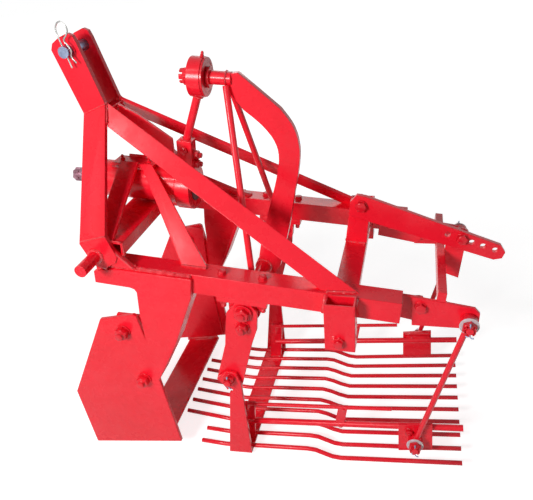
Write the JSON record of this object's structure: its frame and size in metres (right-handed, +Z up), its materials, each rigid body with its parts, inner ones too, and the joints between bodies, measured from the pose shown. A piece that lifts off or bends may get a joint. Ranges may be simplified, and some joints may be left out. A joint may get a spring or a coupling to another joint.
{
  "type": "tractor-mounted potato harvester",
  "caption": "Red one-row vibrating potato digger for a three-point hitch: tube frame, two side coulters, share, swinging rod sieve driven by an eccentric and rocker.",
  "frame": {"origin": "on the floor, in the middle of the footprint of the whole machine", "axes": "+X to the rear of the machine, +Y to its right-hand side, +Z up; the machine is parked pitched 6.8 degrees nose-up"},
  "size_m": [1.068, 0.602, 1.0923],
  "materials": {
    "paint": "glossy red enamel over welded steel",
    "bare_steel": "machined steel, blue-grey, lightly oiled",
    "zinc": "bright zinc-plated spring wire"
  },
  "bodies": {
    "frame": {"left_beam": "paint", "left_side_plate": "paint", "left_inner_plate": "paint", "left_hitch_plate": "paint", "left_clevis_plate": "paint", "left_diagonal_brace": "paint", "left_leg_strip": "paint", "left_wheel_sleeve": "paint", "left_bearing": "paint", "left_rear_arm": "paint", "left_arm_holder": "paint", "right_beam": "paint", "right_side_plate": "paint", "right_inner_plate": "paint", "right_hitch_plate": "paint", "right_clevis_plate": "paint", "right_diagonal_brace": "paint", "right_leg_strip": "paint", "right_wheel_sleeve": "paint", "right_bearing": "paint", "right_rear_arm": "paint", "right_arm_holder": "paint", "front_cross_member": "paint", "rear_cross_member": "paint", "mast_block": "paint", "mast_stay": "paint", "share": "paint", "bearing_housing": "paint", "bearing_cradle": "paint", "rear_cross_bar": "paint", "centre_post": "paint", "centre_arm": "paint", "arm_bracket": "paint", "top_link_pin": "bare_steel", "pin_clip": "zinc"},
    "pto_shaft": {"pto_shaft": "bare_steel"},
    "rocker": {"rock_shaft": "bare_steel", "curved_arm": "paint", "left_hanger": "paint", "right_hanger": "paint"},
    "connecting_rod": {"connecting_rod": "paint"},
    "sieve": {"sieve_grid": "paint", "left_sieve_bracket": "paint", "right_sieve_bracket": "paint", "left_guard": "paint", "right_guard": "paint"},
    "left_rear_link": {"left_rear_link": "paint"},
    "right_rear_link": {"right_rear_link": "paint"}
  },
  "joints": [
    {"name": "pto_spin", "type": "hinge", "parent": "frame", "child": "pto_shaft", "pos_m": [-0.30602, 0, 0.70269], "axis": [0.993, 0, -0.1184], "continuous": true},
    {"name": "rocker_swing", "type": "hinge", "parent": "frame", "child": "rocker", "pos_m": [-0.03181, 0, 0.46857], "axis": [0, 1, 0], "range_deg": [-2.1, 2.1]},
    {"name": "connecting_rod_swing", "type": "hinge", "parent": "rocker", "child": "connecting_rod", "pos_m": [-0.12372, 0, 0.94782], "axis": [0, 1, 0], "range_deg": [-1.7, 1.7]},
    {"name": "sieve_swing", "type": "hinge", "parent": "rocker", "child": "sieve", "pos_m": [-0.09025, 0, 0.27412], "axis": [0, 1, 0], "range_deg": [-2.2, 2.2]},
    {"name": "left_link_swing", "type": "hinge", "parent": "frame", "child": "left_rear_link", "pos_m": [0.45009, -0.196, 0.46448], "axis": [0, 1, 0], "range_deg": [-1.3, 1.3]},
    {"name": "right_link_swing", "type": "hinge", "parent": "frame", "child": "right_rear_link", "pos_m": [0.45009, 0.196, 0.46448], "axis": [0, 1, 0], "range_deg": [-1.3, 1.3]}
  ],
  "couplings": [
    {"joint": "connecting_rod_swing", "follows": "rocker_swing", "ratio": 0.755},
    {"joint": "sieve_swing", "follows": "rocker_swing", "ratio": -0.989},
    {"joint": "left_link_swing", "follows": "rocker_swing", "ratio": 0.534},
    {"joint": "right_link_swing", "follows": "rocker_swing", "ratio": 0.534}
  ]
}
